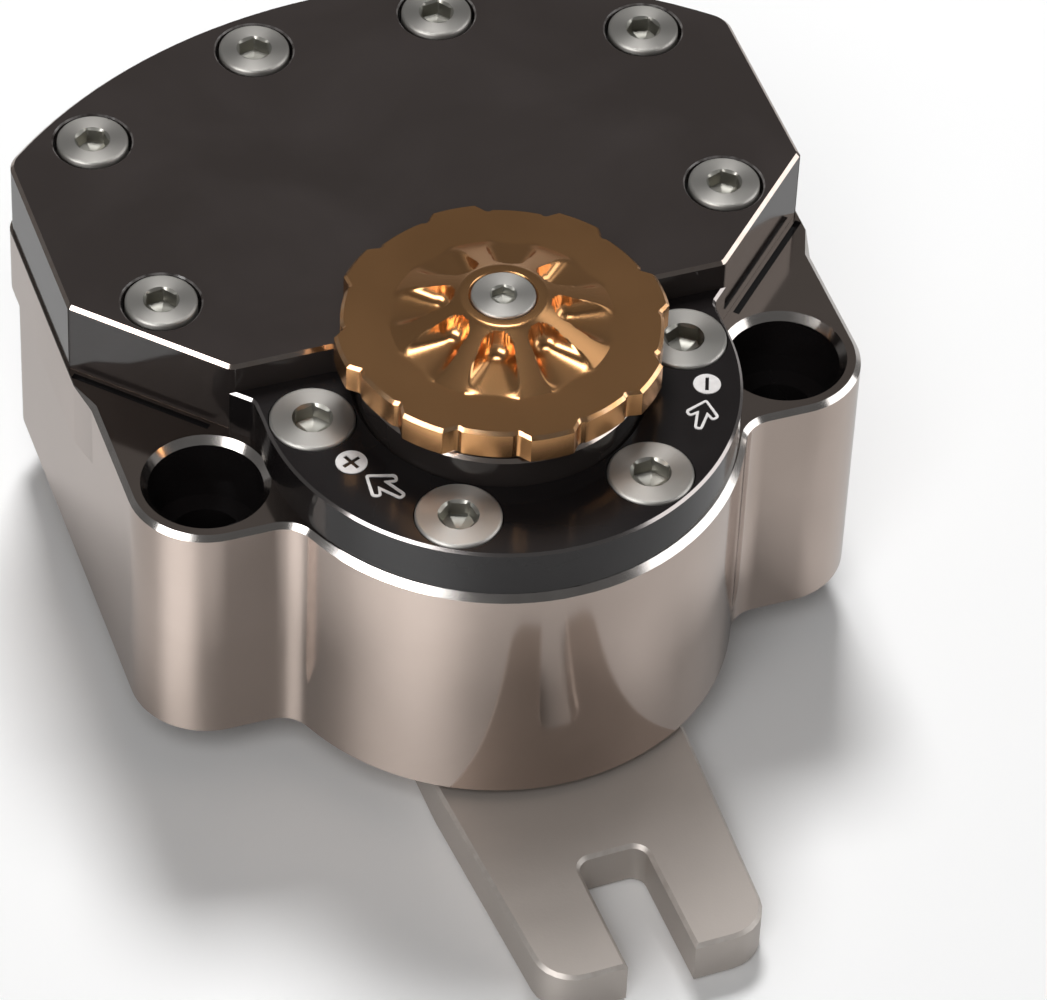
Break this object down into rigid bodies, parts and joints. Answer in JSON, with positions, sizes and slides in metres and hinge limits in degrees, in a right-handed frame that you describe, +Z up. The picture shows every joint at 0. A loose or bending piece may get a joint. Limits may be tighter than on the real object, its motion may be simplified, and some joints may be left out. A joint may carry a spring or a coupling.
{
  "type": "motorcycle steering damper",
  "caption": "Rotary steering damper: a vane in an oil housing with bolt ears, a forked link arm underneath and an adjuster knob on top.",
  "frame": {"origin": "on the rotor axis in the mounting face under the housing, midway between the two ear bolts", "axes": "+Z up along the rotor axis to the knob, -Y along the nose and the link arm, X from ear to ear"},
  "size_m": [0.0914, 0.1228, 0.0601],
  "materials": {
    "anodised_grey": "titanium grey gloss anodised",
    "anodised_dark": "dark gloss anodised",
    "anodised_black": "black gloss anodised",
    "knob_bronze": "bronze anodised",
    "arm_metal": "satin, blasted",
    "stainless": "turned stainless",
    "bearing_bronze": "machined",
    "seal_rubber": "matt",
    "seal_plastic": "matt",
    "mark_paint": "matt white infill"
  },
  "bodies": {
    "casing": {"housing": "anodised_grey", "top_cover": "anodised_dark", "nose_plate": "anodised_black", "cover_screws": "stainless", "plate_screws": "stainless", "plate_marks": "mark_paint", "cover_seal": "seal_rubber", "dowel_pins": "stainless", "lower_bush": "bearing_bronze", "upper_bush": "bearing_bronze", "shaft_seal": "seal_rubber", "seal_circlip": "stainless", "thrust_washers": "bearing_bronze", "gland_ring": "stainless", "stop_pin": "stainless", "detent_plungers": "stainless", "detent_springs": "stainless", "fill_screws": "stainless", "fill_seals": "bearing_bronze"},
    "rotor": {"rotor_shaft": "stainless", "vane": "stainless", "vane_key": "stainless", "vane_seal": "seal_plastic", "valve_jet": "bearing_bronze", "link_arm": "arm_metal", "arm_key": "stainless", "arm_washer": "stainless", "arm_screw": "stainless"},
    "adjuster": {"knob": "knob_bronze", "knob_screw": "stainless", "adjuster_spindle": "stainless", "spindle_seal": "seal_rubber"},
    "needle": {"valve_needle": "stainless"}
  },
  "joints": [
    {"name": "arm_swing", "type": "hinge", "parent": "casing", "child": "rotor", "pos_m": [0, 0, 0], "axis": [0, 0, 1], "range_deg": [-40, 36]},
    {"name": "knob_turn", "type": "hinge", "parent": "casing", "child": "adjuster", "pos_m": [0, 0, 0.045], "axis": [0, 0, 1], "range_deg": [-135, 135]},
    {"name": "needle_climb", "type": "slide", "parent": "adjuster", "child": "needle", "axis": [0, 0, 1], "range_m": [-0.000376, 0.000376]}
  ],
  "couplings": [
    {"joint": "needle_climb", "follows": "knob_turn", "m_per_rad": 0.00015915}
  ]
}
